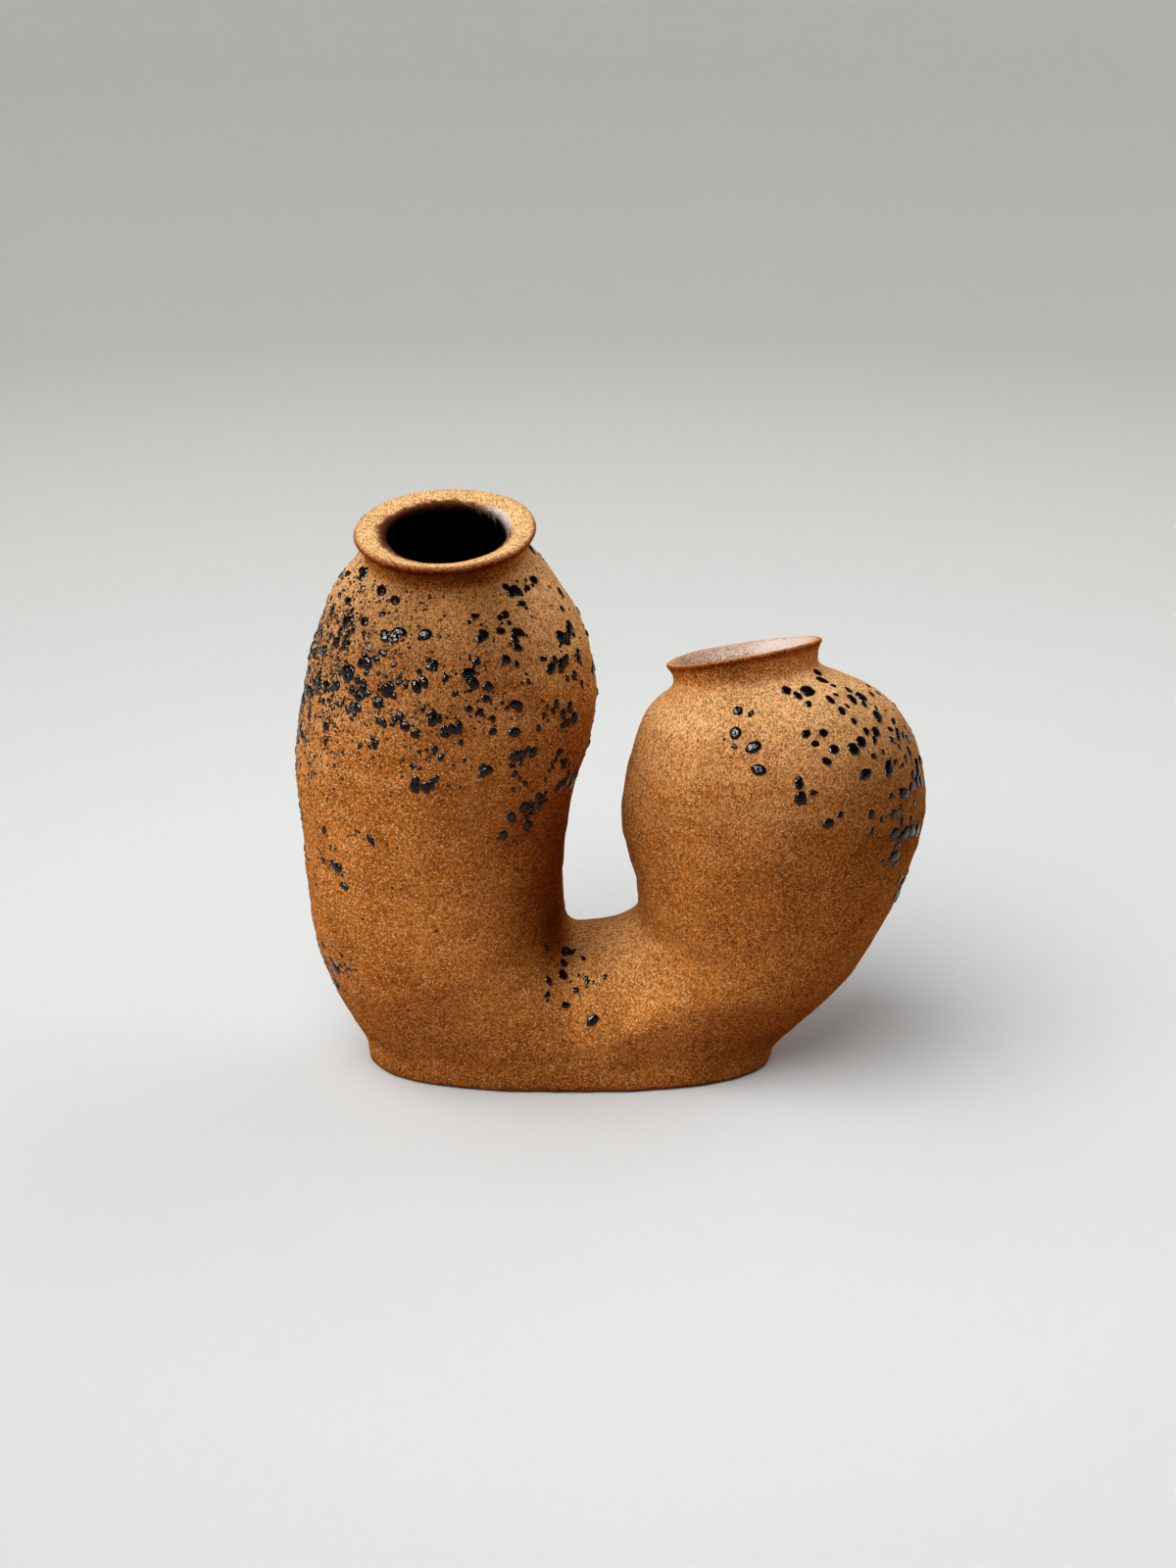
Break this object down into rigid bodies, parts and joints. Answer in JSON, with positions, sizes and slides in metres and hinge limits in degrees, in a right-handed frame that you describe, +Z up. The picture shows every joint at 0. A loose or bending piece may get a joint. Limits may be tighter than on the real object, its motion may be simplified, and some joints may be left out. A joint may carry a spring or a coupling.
{
  "type": "two-armed vase",
  "caption": "Hand-built stoneware vase whose tall jar and short round jar rise from one low body on an oval foot, each with a flared, tilted rim, to hold water and stems.",
  "frame": {"origin": "middle of the oval foot's underside, where the vase stands", "axes": "+X along the foot from the tall jar to the short jar, +Y from the pictured front to the back, +Z up"},
  "size_m": [0.2249, 0.1008, 0.2097],
  "materials": {
    "body_clay": "bare grogged stoneware, toasted orange-brown, matte and gritty",
    "rim_clay": "bare grogged stoneware, a little lighter, with pale glaze in the throat",
    "foot_clay": "bare grogged stoneware, wiped clean, matte",
    "spatter_glaze": "black, glossy, pitted glaze that was flicked on and stands up in drops"
  },
  "bodies": {
    "root": {"foot_slab": "foot_clay", "left_hip": "body_clay", "left_waist": "body_clay", "left_belly": "body_clay", "left_shoulder": "body_clay", "left_neck": "body_clay", "left_rim": "rim_clay", "right_hip": "body_clay", "right_belly": "body_clay", "right_shoulder": "body_clay", "right_neck": "body_clay", "right_rim": "rim_clay"}
  },
  "joints": []
}
